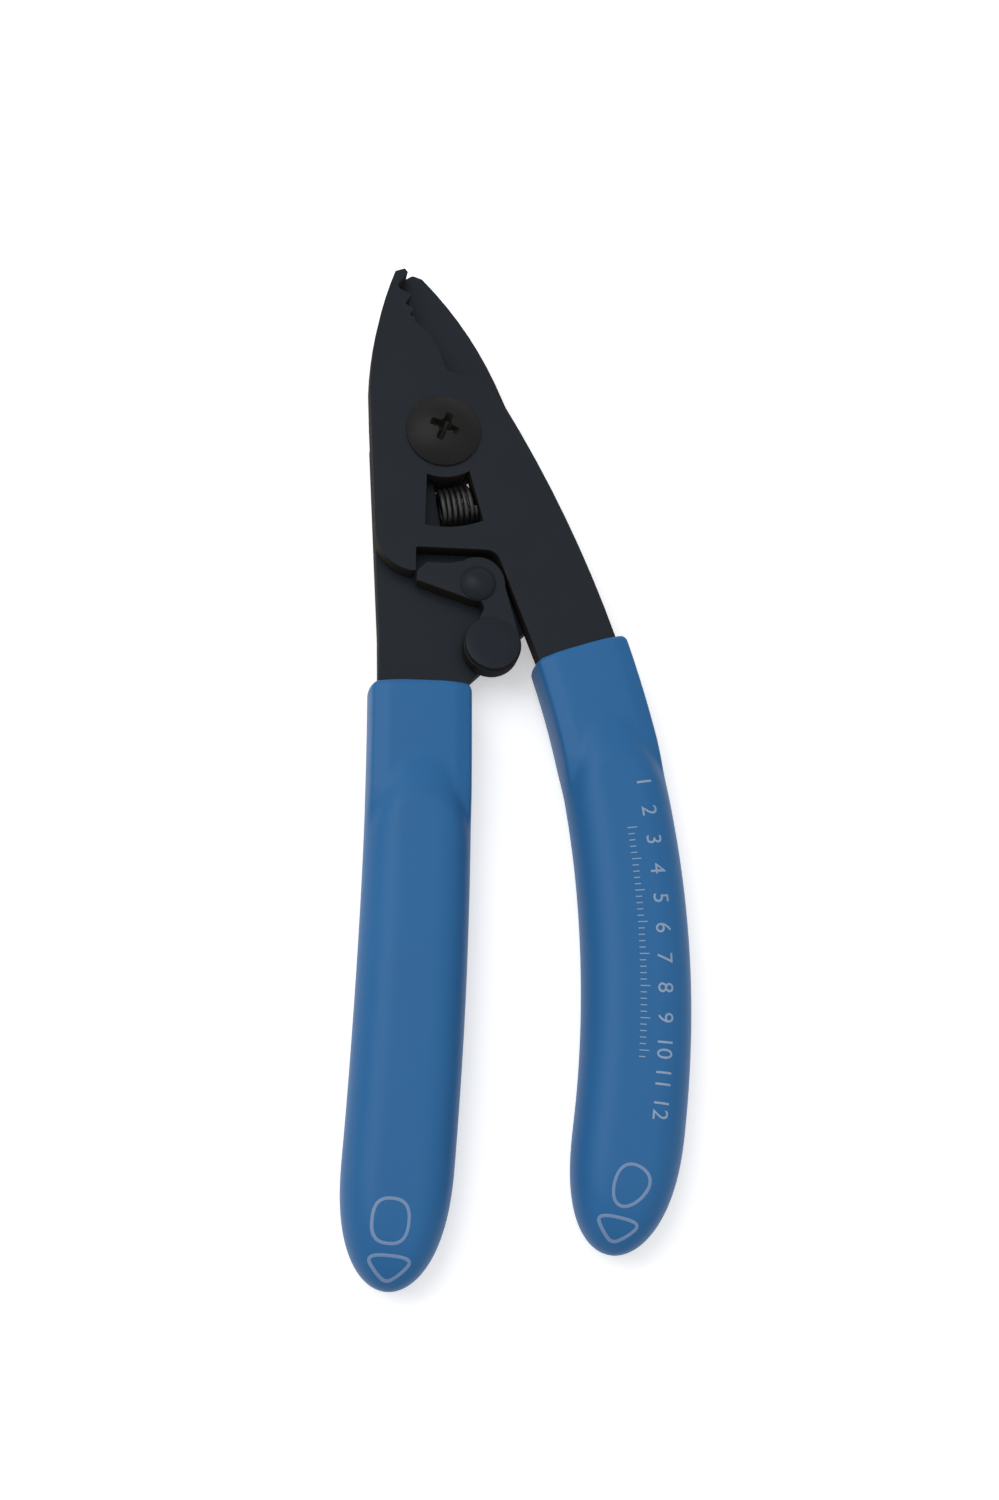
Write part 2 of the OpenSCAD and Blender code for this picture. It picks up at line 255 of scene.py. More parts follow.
@dataclass(frozen=True)
class BlackOxide:
    """Satin black-oxide steel, a little mottled, with rougher cut walls whose browner, darker
    colour is painted shade and painted reflection.
    """

    name: str = "black_oxide"
    dark: Colour = (0.0112, 0.0140, 0.0190)
    light: Colour = (0.0160, 0.0200, 0.0265)
    wall_shade: Colour = (0.0120, 0.0098, 0.0085)
    rough: float = 0.38
    # Colour of faces that turn away from straight up: painted shade and painted brown reflection
    patch_rough: float = 0.12
    wall_rough: float = 0.4
    specular: float = 0.08
    patch_cells: float = 90.0
    patch_detail: float = 4.0
    grain_cells: float = 2600.0
    grain_share: float = 0.25
    grain_depth: float = 0.00002
    grain_strength: float = 0.5
    wall_edge: float = 1.6

    def build(self) -> bpy.types.Material:
        """Makes the steel's shader.

        Returns:
            The material.
        """
        graph = Graph(bpy.data.materials.new(self.name))
        patches = graph.noise(self.patch_cells, self.patch_detail)
        grain = graph.noise(self.grain_cells, PLAIN_DETAIL)
        mottle = patches * (1.0 - self.grain_share) + grain * self.grain_share
        facing = graph.node("ShaderNodeTexCoord", output="Normal")
        upright = graph.node("ShaderNodeSeparateXYZ", {}, {0: facing}, "Z")
        # Mask of the walls: they get the painted shade colour and more roughness
        wall_shade = (1.0 - upright * upright * self.wall_edge).clamp()
        flat = graph.mix(mottle, self.dark, self.light)
        least = self.rough - self.patch_rough / 2
        rough = least + patches * self.patch_rough + wall_shade * self.wall_rough
        return graph.finish({
            "Base Color": graph.mix(wall_shade, flat, self.wall_shade),
            "Roughness": rough.clamp(LEAST_ROUGH),
            "Specular IOR Level": self.specular,
            "Normal": graph.bump(grain, self.grain_depth, self.grain_strength)})


@dataclass(frozen=True)
class SpringWire:
    """Oiled dark spring wire."""

    name: str = "spring_wire"
    dark: Colour = (0.009, 0.009, 0.009)
    light: Colour = (0.042, 0.043, 0.042)
    metallic: float = 0.7
    rough: float = 0.34
    stain_rough: float = 0.15
    stain_cells: float = 900.0

    def build(self) -> bpy.types.Material:
        """Makes the wire's shader.

        Returns:
            The material.
        """
        graph = Graph(bpy.data.materials.new(self.name))
        stain = graph.noise(self.stain_cells)
        return graph.finish({
            "Base Color": graph.mix(stain, self.dark, self.light),
            "Metallic": self.metallic,
            "Roughness": (self.rough + stain * self.stain_rough).clamp(LEAST_ROUGH)})


@dataclass(frozen=True)
class MouldedVinyl:
    """Blue moulded vinyl: even colour, soft sheen, fine moulding texture."""

    name: str = "blue_vinyl"
    deep: Colour = (0.020, 0.117, 0.292)
    pale: Colour = (0.025, 0.135, 0.330)
    rough: float = 0.46
    cloud_rough: float = 0.1
    specular: float = 0.16
    cloud_cells: float = 55.0
    grain_cells: float = 3200.0
    grain_depth: float = 0.000015
    grain_strength: float = 0.6

    def build(self) -> bpy.types.Material:
        """Makes the vinyl's shader.

        Returns:
            The material.
        """
        graph = Graph(bpy.data.materials.new(self.name))
        cloud = graph.noise(self.cloud_cells)
        grain = graph.noise(self.grain_cells, PLAIN_DETAIL)
        least = self.rough - self.cloud_rough / 2
        return graph.finish({
            "Base Color": graph.mix(cloud, self.deep, self.pale),
            "Roughness": (least + cloud * self.cloud_rough).clamp(LEAST_ROUGH),
            "Specular IOR Level": self.specular,
            "Normal": graph.bump(grain, self.grain_depth, self.grain_strength)})


@dataclass(frozen=True)
class PrintedInk:
    """Pale print on the grips, a little worn; the same finish also makes the pale rings near the
    grips' ends, which are painted highlights.
    """

    name: str
    pale: Colour
    worn: Colour
    rough: float = 0.5
    wear_rough: float = 0.1
    wear_cells: float = 1400.0

    def build(self) -> bpy.types.Material:
        """Makes the print's shader.

        Returns:
            The material.
        """
        graph = Graph(bpy.data.materials.new(self.name))
        wear = graph.noise(self.wear_cells)
        return graph.finish({
            "Base Color": graph.mix(wear, self.worn, self.pale),
            "Roughness": (self.rough + wear * self.wear_rough).clamp(LEAST_ROUGH)})


@dataclass(frozen=True)
class WhiteTable:
    """Pale table that shows white to the camera and in reflections, and keeps the shadow.

    It doesn't glow under the spring's windows, so the floor seen through them keeps a painted
    shade, and glows fully where the lamps fade out.
    """

    name: str = "white_table"
    colour: Colour = (0.94, 0.94, 0.94)
    tone_cells: float = 9.0
    tone_share: float = 0.99
    rough: float = 0.9
    glow: float = 0.42
    # Radius and edge of the painted shade under the spring's windows
    painted_shade_radius: float = 0.0055
    painted_shade_edge: float = 0.001
    lit_radius: float = 0.25
    lit_edge: float = 0.5

    def build(self) -> bpy.types.Material:
        """Makes the table's shader.

        Returns:
            The material.
        """
        graph = Graph(bpy.data.materials.new(self.name))
        tone = graph.noise(self.tone_cells, PLAIN_DETAIL)
        near = tuple(c * self.tone_share for c in self.colour)
        seen = (graph.ray("Is Camera Ray") + graph.ray("Is Glossy Ray")).clamp()
        windows = tuple(middle("return_spring").xy.to_3d())
        away = graph.node("ShaderNodeVectorMath", {"operation": "DISTANCE"},
                          {0: graph.place(), 1: windows}, "Value")
        # No glow near the spring's windows: painted shade where the tool's own shadow lies
        outside_painted_shade = (away * (1.0 / self.painted_shade_edge) - self.painted_shade_radius / self.painted_shade_edge).clamp()
        far = (away * (1.0 / self.lit_edge) - self.lit_radius / self.lit_edge).clamp()
        level = (far * (1.0 - self.glow) + self.glow) * outside_painted_shade
        return graph.finish({
            "Base Color": graph.mix(tone, near, self.colour),
            "Roughness": self.rough,
            "Specular IOR Level": 0.0,
            "Emission Color": graph.mix(seen * level, BLACK, WHITE),
            "Emission Strength": 1.0})


# ---------- Mesh helpers ----------

def new_object(name: str, mesh: bpy.types.Mesh, material: bpy.types.Material) -> bpy.types.Object:
    """Links a mesh into the scene.

    Args:
        name: the piece's name.
        mesh: its mesh.
        material: its only material.

    Returns:
        The object.
    """
    made = bpy.data.objects.new(name, mesh)
    bpy.context.scene.collection.objects.link(made)
    mesh.materials.clear()
    mesh.materials.append(material)
    return made


def smoothed(mesh: bpy.types.Mesh, crease: float) -> bpy.types.Mesh:
    """Makes a mesh smooth, with edges sharp above an angle.

    Args:
        mesh: the mesh.
        crease: the angle in degrees.

    Returns:
        The same mesh.
    """
    mesh.shade_smooth()
    mesh.set_sharp_from_angle(angle=math.radians(crease))
    return mesh


def mesh_of(name: str, points: Sequence[Vector], faces: Sequence[Sequence[int]],
            crease: float = 40.0) -> bpy.types.Mesh:
    """Makes a smooth mesh whose edges are sharp above an angle.

    Args:
        name: the mesh's name.
        points: its vertices.
        faces: its faces.
        crease: the angle in degrees.

    Returns:
        The mesh.
    """
    mesh = bpy.data.meshes.new(name)
    mesh.from_pydata([tuple(p) for p in points], [], [tuple(f) for f in faces])
    mesh.validate()
    return smoothed(mesh, crease)


def tube_faces(rings: int, sides: int) -> list[tuple[int, ...]]:
    """Joins rings of points into a closed tube with a cap at each end.

    Args:
        rings: the number of rings.
        sides: the number of points in each.

    Returns:
        The faces.
    """
    faces = [(i * sides + j, (i + 1) * sides + j, (i + 1) * sides + (j + 1) % sides,
              i * sides + (j + 1) % sides) for i in range(rings - 1) for j in range(sides)]
    faces.append(tuple(range(sides)))
    faces.append(tuple(reversed(range((rings - 1) * sides, rings * sides))))
    return faces


def dress(node: str, material: bpy.types.Material) -> None:
    """Gives a CAD node its finish.

    Args:
        node: the node's name.
        material: the finish.
    """
    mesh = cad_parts[node].data
    mesh.materials.clear()
    mesh.materials.append(material)
    LOG.info("%s dressed", node)


# ---------- Steel pieces ----------

@dataclass
class StampedPiece:
    """A stamped steel piece: the CAD solid with its rims broken."""

    node: str
    body: str
    material: bpy.types.Material
    rim: float = 0.16
    corner: float = 50.0
    slot: Slot = Slot.STEEL
    crease: float = 60.0
    segments: int = 2
    profile: float = 0.6
    flat_angle: float = 1.0
    flat_weight: int = 90
    same_place: float = 2e-6
    same_height: float = 1e-6

    def build(self) -> bpy.types.Object:
        """Bevels a copy of the solid's sharp edges and hides the solid.

        Returns:
            The bevelled piece.
        """
        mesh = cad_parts[self.node].data.copy()
        work = bmesh.new()
        work.from_mesh(mesh)
        bmesh.ops.remove_doubles(work, verts=work.verts, dist=self.same_place)
        bmesh.ops.dissolve_limit(work, angle_limit=math.radians(self.flat_angle),
                                 verts=work.verts, edges=work.edges)
        rims = [e for e in work.edges if self.on_rim(e)]
        bmesh.ops.bevel(work, geom=rims, offset=self.rim * MM, offset_type="OFFSET",
                        segments=self.segments, profile=self.profile, affect="EDGES",
                        clamp_overlap=False, loop_slide=True)
        work.to_mesh(mesh)
        work.free()
        piece = new_object(f"{self.node}_steel", smoothed(mesh, self.crease), self.material)
        weigh = piece.modifiers.new("faces", "WEIGHTED_NORMAL")
        weigh.keep_sharp = True
        weigh.weight = self.flat_weight
        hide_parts(self.node)
        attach(piece, self.body)
        LOG.info("%s: %d rims broken", piece.name, len(rims))
        return piece

    def on_rim(self, edge: bmesh.types.BMEdge) -> bool:
        """Tells whether an edge is a sharp one that lies flat, round a face of the plate.

        Args:
            edge: the edge.

        Returns:
            True for an edge to break.
        """
        first, second = edge.verts
        sharp = len(edge.link_faces) == 2 and edge.calc_face_angle() > math.radians(self.corner)
        return sharp and abs(first.co.z - second.co.z) < self.same_height


@dataclass
class CoilSpring:
    """The compression spring, which fans out round the pivot in its two windows."""

    material: bpy.types.Material
    turns: float = 6.2
    wire: float = 0.78
    diameter: float = 7.2
    radius: float = 12.15
    lean: float = 12.75
    length: float = 5.9
    fan: float = 0.2
    closed_turns: float = 0.6
    steps: int = 26
    sides: int = 10

    def build(self) -> bpy.types.Object:
        """Makes the coils between the walls.

        Returns:
            The spring.
        """
        low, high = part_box("return_spring")
        height = (low[2] + high[2]) / 2
        rings = int(self.turns * self.steps) + 1
        points: list[Vector] = []
        for i in range(rings):
            t = i / (rings - 1)
            along = (self.reached(t) - 0.5) * (self.length - self.wire)
            points += self.ring(2 * math.pi * self.turns * t, along, height)
        mesh = mesh_of("return_coil", points, tube_faces(rings, self.sides))
        piece = new_object("return_coil", mesh, self.material)
        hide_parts("return_spring")
        start = self.at(self.radius, -self.length / 2, height)
        end = self.at(self.radius, self.length / 2, height)
        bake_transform(piece)
        LOG.info("return_coil: %d rings", rings)
        return piece

    def reached(self, t: float) -> float:
        """Returns the share of the length reached at share t of the wire, with closed ends."""
        closed = self.closed_turns / self.turns
        return held((t - closed / 2) / (1.0 - closed))

    def at(self, radius: float, along: float, height: float) -> Vector:
        """Finds a point of the spring.

        Args:
            radius: distance from the pivot, in millimetres.
            along: distance along the spring from its middle, in millimetres.
            height: height in metres.

        Returns:
            The point in the frame.
        """
        spread = along * (1.0 + self.fan * (radius - self.radius) / self.radius)
        turned = Matrix.Rotation(math.radians(self.lean), 2) @ Vector((spread, -radius))
        return PIVOT + Vector((turned.x * MM, turned.y * MM, height))

    def ring(self, angle: float, along: float, height: float) -> list[Vector]:
        """Makes one ring of the wire.

        Args:
            angle: place round the coil, in radians.
            along: place along the spring, in millimetres.
            height: the coil's middle, in metres.

        Returns:
            The ring's points.
        """
        half = self.wire / 2
        ring = []
        for b in circle(self.sides):
            reach = self.diameter / 2 - half + half * math.cos(b)
            ring.append(self.at(self.radius + reach * math.cos(angle), along + half * math.sin(b),
                                height + reach * math.sin(angle) * MM))
        return ring


@dataclass
class CrossScrew:
    """The pivot screw: a turned blank with a deep cross recess, in millimetres."""

    material: bpy.types.Material
    head: float = 6.0
    rim: float = 0.5
    shoulder: float = 3.0
    thread: float = 2.5
    head_height: float = 2.6
    nut_height: float = 2.6
    thread_edge: float = 0.3
    head_edge: float = 0.12
    span: float = 2.55
    wing: float = 0.62
    core: float = 1.15
    depth: float = 2.1
    turn: float = -21.0
    sides: int = 96
    star_sides: int = 48
    star_crease: float = 20.0
    dome_steps: int = 14
    crease: float = 35.0

    def build(self) -> bpy.types.Object:
        """Turns the blank, cuts the recess and hides the solid.

        Returns:
            The screw.
        """
        low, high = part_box("pivot_screw")
        base, top = low[2] / MM, high[2] / MM
        blank = new_object("screw_blank", self.turned(base, top), self.material)
        cutter = new_object("recess_cutter", self.star(top), self.material)
        cut = blank.modifiers.new("recess", "BOOLEAN")
        cut.object = cutter
        cut.solver = "EXACT"
        settled = blank.evaluated_get(bpy.context.evaluated_depsgraph_get())
        mesh = bpy.data.meshes.new_from_object(settled)
        for spare in (blank, cutter):
            bpy.data.objects.remove(spare)
        piece = new_object("pivot_screw_turned", smoothed(mesh, self.crease), self.material)
        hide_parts("pivot_screw")
        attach(piece, "rear")
        LOG.info("%s: recess cut", piece.name)
        return piece

    def profile(self, base: float, top: float) -> list[Point2]:
        """Draws the blank's outline from the thread's end to the top of the dome.

        Args:
            base: height of the thread's end.
            top: height of the dome's top.

        Returns:
            The outline's (radius, height) points.
        """
        seat, nut_top = top - self.head_height, base + self.nut_height
        dome = self.head_height - self.rim
        ball = (self.head ** 2 + dome ** 2) / (2 * dome)
        widest = math.asin(self.head / ball)
        stem = [(CLOSING, base), (self.thread - self.thread_edge, base),
                (self.thread, base + self.thread_edge), (self.thread, nut_top),
                (self.shoulder, nut_top), (self.shoulder, seat),
                (self.head - self.head_edge, seat), (self.head, seat + self.head_edge)]
        slopes = [widest * (1.0 - i / self.dome_steps) for i in range(self.dome_steps + 1)]
        return stem + [(max(CLOSING, ball * math.sin(a)), top - ball * (1.0 - math.cos(a)))
                       for a in slopes]

    def turned(self, base: float, top: float) -> bpy.types.Mesh:
        """Turns the outline round the pivot.

        Args:
            base: height of the thread's end.
            top: height of the dome's top.

        Returns:
            The blank's closed mesh.
        """
        profile = self.profile(base, top)
        points = [PIVOT + around(radius, a, height) * MM
                  for radius, height in profile for a in circle(self.sides)]
        return mesh_of("screw_blank", points, tube_faces(len(profile), self.sides), self.crease)

    def star(self, top: float) -> bpy.types.Mesh:
        """Makes the cutter: four wings with filleted roots that taper to a point below.

        Args:
            top: height of the dome's top.

        Returns:
            The cutter's closed mesh.
        """
        # Each level's height over the dome's top, and its share of the star's size
        levels = ((0.4, 1.12), (-0.25, 1.0), (-self.depth * 0.8, 0.6), (-self.depth, 0.12))
        turn = math.radians(self.turn)
        points = [PIVOT + around(self.reach(a) * share, a + turn, top + rise) * MM
                  for rise, share in levels for a in circle(self.star_sides)]
        faces = tube_faces(len(levels), self.star_sides)
        return mesh_of("recess_cutter", points, faces, self.star_crease)

    def reach(self, angle: float) -> float:
        """Finds how far the star reaches: to a wing, or to the fillet between two wings.

        Args:
            angle: the direction in radians.

        Returns:
            The star's radius.
        """
        off = abs((angle + math.pi / 4) % (math.pi / 2) - math.pi / 4)
        wing = min(self.span / math.cos(off), self.wing / max(TINY, math.sin(off)))
        return max(wing, self.core)


@dataclass
class ThumbPad:
    """The raised, slightly sloping face of the lever's thumb pad, in millimetres."""

    material: bpy.types.Material
    radius: float = 4.45
    inset: float = 4.72
    rise: Point2 = (0.12, 1.3)
    slope: float = 232.0
    sides: int = 72
    # Each ring's share of the radius, its height, and whether it follows the slope
    rings: tuple[tuple[float, float, float], ...] = (
        (1.0, -0.9, 0.0), (1.0, -0.22, 1.0), (0.985, -0.07, 1.0), (0.95, 0.0, 1.0),
        (0.5, 0.02, 1.0), (0.02, 0.02, 1.0))

    def build(self) -> bpy.types.Object:
        """Makes the pad over the round end of the lever.

        Returns:
            The pad.
        """
        low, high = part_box("lock_lever")
        centre = Vector((high[0] / MM - self.inset, low[1] / MM + self.inset, high[2] / MM))
        least, most = self.rise
        points = []
        for share, height, follows in self.rings:
            for a in circle(self.sides):
                along = share * math.cos(a - math.radians(self.slope))
                lift = follows * (least + (most - least) * (along + 1.0) / 2)
                points.append((centre + around(self.radius * share, a, lift + height)) * MM)
        mesh = mesh_of("thumb_pad", points, tube_faces(len(self.rings), self.sides))
        piece = new_object("thumb_pad", mesh, self.material)
        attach(piece, "lever")
        LOG.info("thumb_pad on the lever")
        return piece


# ---------- Grips ----------

# Power of a superellipse that is a circle
ROUND = 2.0


def outer(share: float, power: float) -> float:
    """Returns the height of a quarter superellipse at a share of its reach."""
    return max(0.0, 1.0 - share ** power) ** (1 / power)


@dataclass
class GripForm:
    """The moulded form of one grip, in millimetres from the pivot.

    Distances u run along the middle line from the mouth, and s to its right. A share q is
    that of half the width.
    """

    length: float
    mouth_w: float
    bend: float
    mouth: Point2
    lean: float
    belly_w: float = 17.2
    belly_u: float = 60.0
    thick: float = 13.4
    mouth_edge: float = 1.2
    mouth_pull: float = 1.1
    sleeve_t: float = 10.2
    sleeve_len: float = 10.2
    sleeve_edge: float = 0.8
    sleeve_pull: float = 0.5
    sleeve_flat: float = 0.63
    sleeve_drop: float = 1.1
    sleeve_power: float = 1.25
    sleeve_side: float = 0.92
    sleeve_fade: float = 0.35
    shoulder: float = 6.5
    shoulder_q: float = 0.85
    swell_len: float = 9.5
    nose_share: float = 0.73
    land: float = 0.31
    body_power: float = 2.2
    join_sharp: float = 5.2
    join_rise: float = 0.12
    end_len: float = 20.0
    end_power: Point2 = (2.5, 3.2)
    least_half: float = 0.02
    most_share: float = 0.999
    half: int = 40
    mouth_places: tuple[float, ...] = (0.0, 0.08, 0.2, 0.4, 0.65, 0.9, 1.2, 2.0, 4.0, 6.5)
    swell_place: float = 7.5
    swell_step: float = 0.35
    swell_count: int = 60
    body_count: int = 22
    end_count: int = 36

    def centre(self, u: float, s: float) -> Vector:
        """Finds a plan point.

        Args:
            u: distance along the middle line.
            s: distance to its right.

        Returns:
            The point in the plan.
        """
        lean = math.radians(self.lean)
        hub = Vector(self.mouth) - self.bend * Vector((math.cos(lean), math.sin(lean)))
        turn = lean - u / self.bend
        return hub + (self.bend + s) * Vector((math.cos(turn), math.sin(turn)))

    def end(self, u: float, power: float) -> float:
        """Returns the share of the width or thickness that the rounded end leaves at u."""
        near = max(0.0, 1.0 - (self.length - u) / self.end_len)
        return math.sqrt(max(0.0, 1.0 - near ** power))

    def half_width(self, u: float) -> float:
        """Finds half the width.

        Args:
            u: distance along the middle line.

        Returns:
            Half the width there.
        """
        near = max(0.0, 1.0 - u / self.mouth_edge)
        width = self.mouth_w + (self.belly_w - self.mouth_w) * smooth_step(u / self.belly_u)
        pull = self.mouth_pull * (1.0 - outer(near, ROUND))
        return max(self.least_half, width / 2 * self.end(u, self.end_power[0]) - pull)

    def sleeve(self, u: float, q: float) -> float:
        """Finds the flat sleeve's half thickness, which slopes down to a rounded side.

        Args:
            u: distance along the middle line.
            q: share of half the width.

        Returns:
            The sleeve's half thickness before the rounded end.
        """
        near = max(0.0, 1.0 - u / self.sleeve_edge)
        fade = smooth_step((u - self.sleeve_len - self.shoulder) / self.swell_len)
        flat = self.sleeve_t / 2 - self.sleeve_pull * (1.0 - outer(near, ROUND))
        slope = max(0.0, (q - self.sleeve_flat) / (1.0 - self.sleeve_flat))
        side = held((q - self.sleeve_side) / (1.0 - self.sleeve_side))
        drop = self.sleeve_drop * slope ** self.sleeve_power
        return (flat * (1.0 - self.sleeve_fade * fade) - drop) * outer(side, ROUND)

    def body(self, u: float, q: float) -> float:
        """Finds the body's half thickness, which swells later beside the middle.

        Args:
            u: distance along the middle line.
            q: share of half the width.

        Returns:
            The body's half thickness before the rounded end.
        """
        start = self.sleeve_len + self.shoulder * min(1.0, q / self.shoulder_q) ** 2
        swell = smooth_step((u - start) / self.swell_len)
        nose = self.nose_share + (1.0 - self.nose_share) * swell
        past = max(0.0, (q - self.land) / (1.0 - self.land))
        return self.thick / 2 * nose * outer(past, self.body_power)

    def half_thick(self, u: float, q: float) -> float:
        """Finds half the thickness: the higher of sleeve and body, with a soft join.

        Args:
            u: distance along the middle line.
            q: share of half the width.

        Returns:
            Half the thickness there.
        """
        sleeve, body = self.sleeve(u, q), self.body(u, q)
        top = max(sleeve, body)
        both = sum(math.exp(self.join_sharp * (height - top)) for height in (sleeve, body))
        joined = top + min(self.join_rise, math.log(both) / self.join_sharp)
        return min(joined, self.thick / 2) * self.end(u, self.end_power[1])

    def top(self, u: float, s: float, lift: float) -> Vector:
        """Finds a point over the upper surface.

        Args:
            u: distance along the middle line.
            s: distance to its right.
            lift: height above the surface.

        Returns:
            The point in the frame, in metres.
        """
        plan = self.centre(u, s)
        share = min(self.most_share, abs(s) / self.half_width(u))
        height = self.thick / 2 + self.half_thick(u, share) + lift
        return PIVOT + Vector((plan.x, plan.y, height)) * MM

    def ring(self, u: float) -> list[Vector]:
        """Makes one ring round the grip.

        Args:
            u: distance along the middle line.

        Returns:
            The ring's points in the frame, in metres.
        """
        ring = []
        for j in range(2 * self.half):
            up = 1 if j < self.half else -1
            q = up * math.sin(math.pi * (j % self.half) / self.half - math.pi / 2)
            plan = self.centre(u, q * self.half_width(u))
            height = self.thick / 2 + self.half_thick(u, abs(q)) * up
            ring.append(PIVOT + Vector((plan.x, plan.y, height)) * MM)
        return ring

    def places(self) -> list[float]:
        """Lists the stations, which lie closer at the mouth, the shoulder and the end.

        Returns:
            Each station's distance along the middle line.
        """
        swell = [self.swell_place + self.swell_step * i for i in range(self.swell_count)]
        body_end = self.length - self.end_len
        gap = body_end - swell[-1]
        body = [swell[-1] + gap * i / self.body_count for i in range(1, self.body_count)]
        end = [body_end + self.end_len * math.sin(math.pi / 2 * i / self.end_count)
               for i in range(self.end_count + 1)]
        return [*self.mouth_places, *swell, *body, *end]


@dataclass
class Grip:
    """A moulded grip with painted highlight rings near its end."""

    form: GripForm
    node: str
    body: str
    material: bpy.types.Material
    highlight_material: bpy.types.Material
    crease: float = 65.0
    mark_w: float = 0.6
    mark_crown: float = 0.05
    mark_sink: float = 0.02
    mark_power: int = 4
    mark_rows: int = 5

    def build(self) -> bpy.types.Object:
        """Lofts the grip and hides its solid.

        Returns:
            The grip.
        """
        places = self.form.places()
        points = [p for u in places for p in self.form.ring(u)]
        faces = tube_faces(len(places), 2 * self.form.half)
        mesh = mesh_of(f"{self.node}_vinyl", points, faces, self.crease)
        piece = new_object(f"{self.node}_vinyl", mesh, self.material)
        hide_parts(self.node)
        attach(piece, self.body)
        LOG.info("%s: %d stations", piece.name, len(places))
        return piece

    def mark(self, name: str, line: Sequence[Point2]) -> None:
        """Lays a closed pale line on the upper surface: a painted highlight.

        Args:
            name: the piece's name.
            line: its (u, s) points.
        """
        n, rows = len(line), self.mark_rows
        points: list[Vector] = []
        for i, (u, s) in enumerate(line):
            before, after = line[i - 1], line[(i + 1) % n]
            du, ds = after[0] - before[0], after[1] - before[1]
            size = math.hypot(du, ds)
            for k in range(rows):
                share = k / (rows - 1) - 0.5
                lift = self.mark_crown * (1.0 - (2 * share) ** self.mark_power) - self.mark_sink
                across = self.mark_w * share / size
                points.append(self.form.top(u - ds * across, s + du * across, lift))
        faces = [(i * rows + k, i * rows + k + 1, (i + 1) % n * rows + k + 1,
                  (i + 1) % n * rows + k) for i in range(n) for k in range(rows - 1)]
        piece = new_object(name, mesh_of(name, points, faces), self.highlight_material)
        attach(piece, self.body)
        LOG.info("%s laid on %s", name, self.node)


def rounded_loop(centre: Point2, size: Point2, power: float, turn: float = 0.0,
                 pinch: float = 0.0, count: int = 72) -> list[Point2]:
    """Draws a closed superellipse that may narrow towards the grip's end.

    Args:
        centre: its (u, s) middle.
        size: its length along u and its width along s.
        power: 2 for an ellipse, more for squarer corners.
        turn: its turn in degrees.
        pinch: how much narrower it is at its far end.
        count: the number of points.

    Returns:
        The (u, s) points.
    """
    def squared(value: float) -> float:
        """Returns a cosine or sine pushed out towards the corners."""
        return math.copysign(abs(value) ** (2 / power), value)

    c, d = math.cos(math.radians(turn)), math.sin(math.radians(turn))
    points = []
    for a in circle(count):
        x = squared(math.cos(a))
        u, s = x * size[0] / 2, squared(math.sin(a)) * (1.0 - pinch * x) * size[1] / 2
        points.append((centre[0] + u * c - s * d, centre[1] + u * d + s * c))
    return points


@dataclass
class PrintedScale:
    """A generic printed row along a grip, of plain numbers or of ticks, in millimetres."""

    form: GripForm
    body: str
    material: bpy.types.Material
    start: float
    count: int
    step: float
    offset: float
    size: float
    ink_lift: float = 0.03
    text_scale: float = 1.4
    text_steps: int = 4
    longest_edge: float = 0.35
    splits: int = 4
    tick_w: float = 0.16
    long_tick: float = 1.55
    long_every: int = 5
    tick_rows: int = 5

    def numbers(self, name: str) -> bpy.types.Object:
        """Prints the numbers, which read from the mouth to the end.

        Args:
            name: the piece's name.

        Returns:
            The printed piece.
        """
        points: list[Vector] = []
        faces: list[tuple[int, ...]] = []
        for k in range(self.count):
            glyph = self.glyph(str(k + 1))
            first = len(points)
            middle_u = self.start + k * self.step
            points += [self.form.top(middle_u + v.co.x, self.offset + v.co.y, self.ink_lift)
                       for v in glyph.vertices]
            faces += [tuple(first + i for i in f.vertices) for f in glyph.polygons]
            bpy.data.meshes.remove(glyph)
        return self.lay(name, points, faces)

    def glyph(self, text: str) -> bpy.types.Mesh:
        """Makes a number as a flat mesh whose edges are short enough to follow a curve.

        Args:
            text: the number.

        Returns:
            The mesh, in millimetres, centred along its reading direction.
        """
        curve = bpy.data.curves.new("number", "FONT")
        curve.body = text
        curve.size = self.size * self.text_scale
        curve.align_x = "CENTER"
        curve.resolution_u = self.text_steps
        shape = bpy.data.objects.new("number", curve)
        mesh = bpy.data.meshes.new_from_object(shape)
        bpy.data.objects.remove(shape)
        bpy.data.curves.remove(curve)
        work = bmesh.new()
        work.from_mesh(mesh)
        for _ in range(self.splits):
            bmesh.ops.triangulate(work, faces=work.faces)
            edges = [e for e in work.edges if e.calc_length() > self.longest_edge]
            bmesh.ops.subdivide_edges(work, edges=edges, cuts=1)
        bmesh.ops.triangulate(work, faces=work.faces)
        work.to_mesh(mesh)
        work.free()
        return mesh

    def ticks(self, name: str) -> bpy.types.Object:
        """Prints the ticks, some of them longer.

        Args:
            name: the piece's name.

        Returns:
            The printed piece.
        """
        points: list[Vector] = []
        faces: list[tuple[int, ...]] = []
        for k in range(self.count):
            reach = self.size * (self.long_tick if k % self.long_every == 0 else 1.0)
            u = self.start + k * self.step
            first = len(points)
            for j in range(self.tick_rows):
                s = self.offset + reach * j / (self.tick_rows - 1)
                points += [self.form.top(u + side * self.tick_w / 2, s, self.ink_lift)
                           for side in (-1, 1)]
            faces += [(first + 2 * j, first + 2 * j + 1, first + 2 * j + 3, first + 2 * j + 2)
                      for j in range(self.tick_rows - 1)]
        return self.lay(name, points, faces)

    def lay(self, name: str, points: Sequence[Vector],
            faces: Sequence[tuple[int, ...]]) -> bpy.types.Object:
        """Makes the printed piece and rides it on the grip's body.

        Args:
            name: the piece's name.
            points: its vertices.
            faces: its faces.

        Returns:
            The piece.
        """
        piece = new_object(name, mesh_of(name, points, faces), self.material)
        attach(piece, self.body)
        LOG.info("%s printed", name)
        return piece


# ---------- Studio ----------

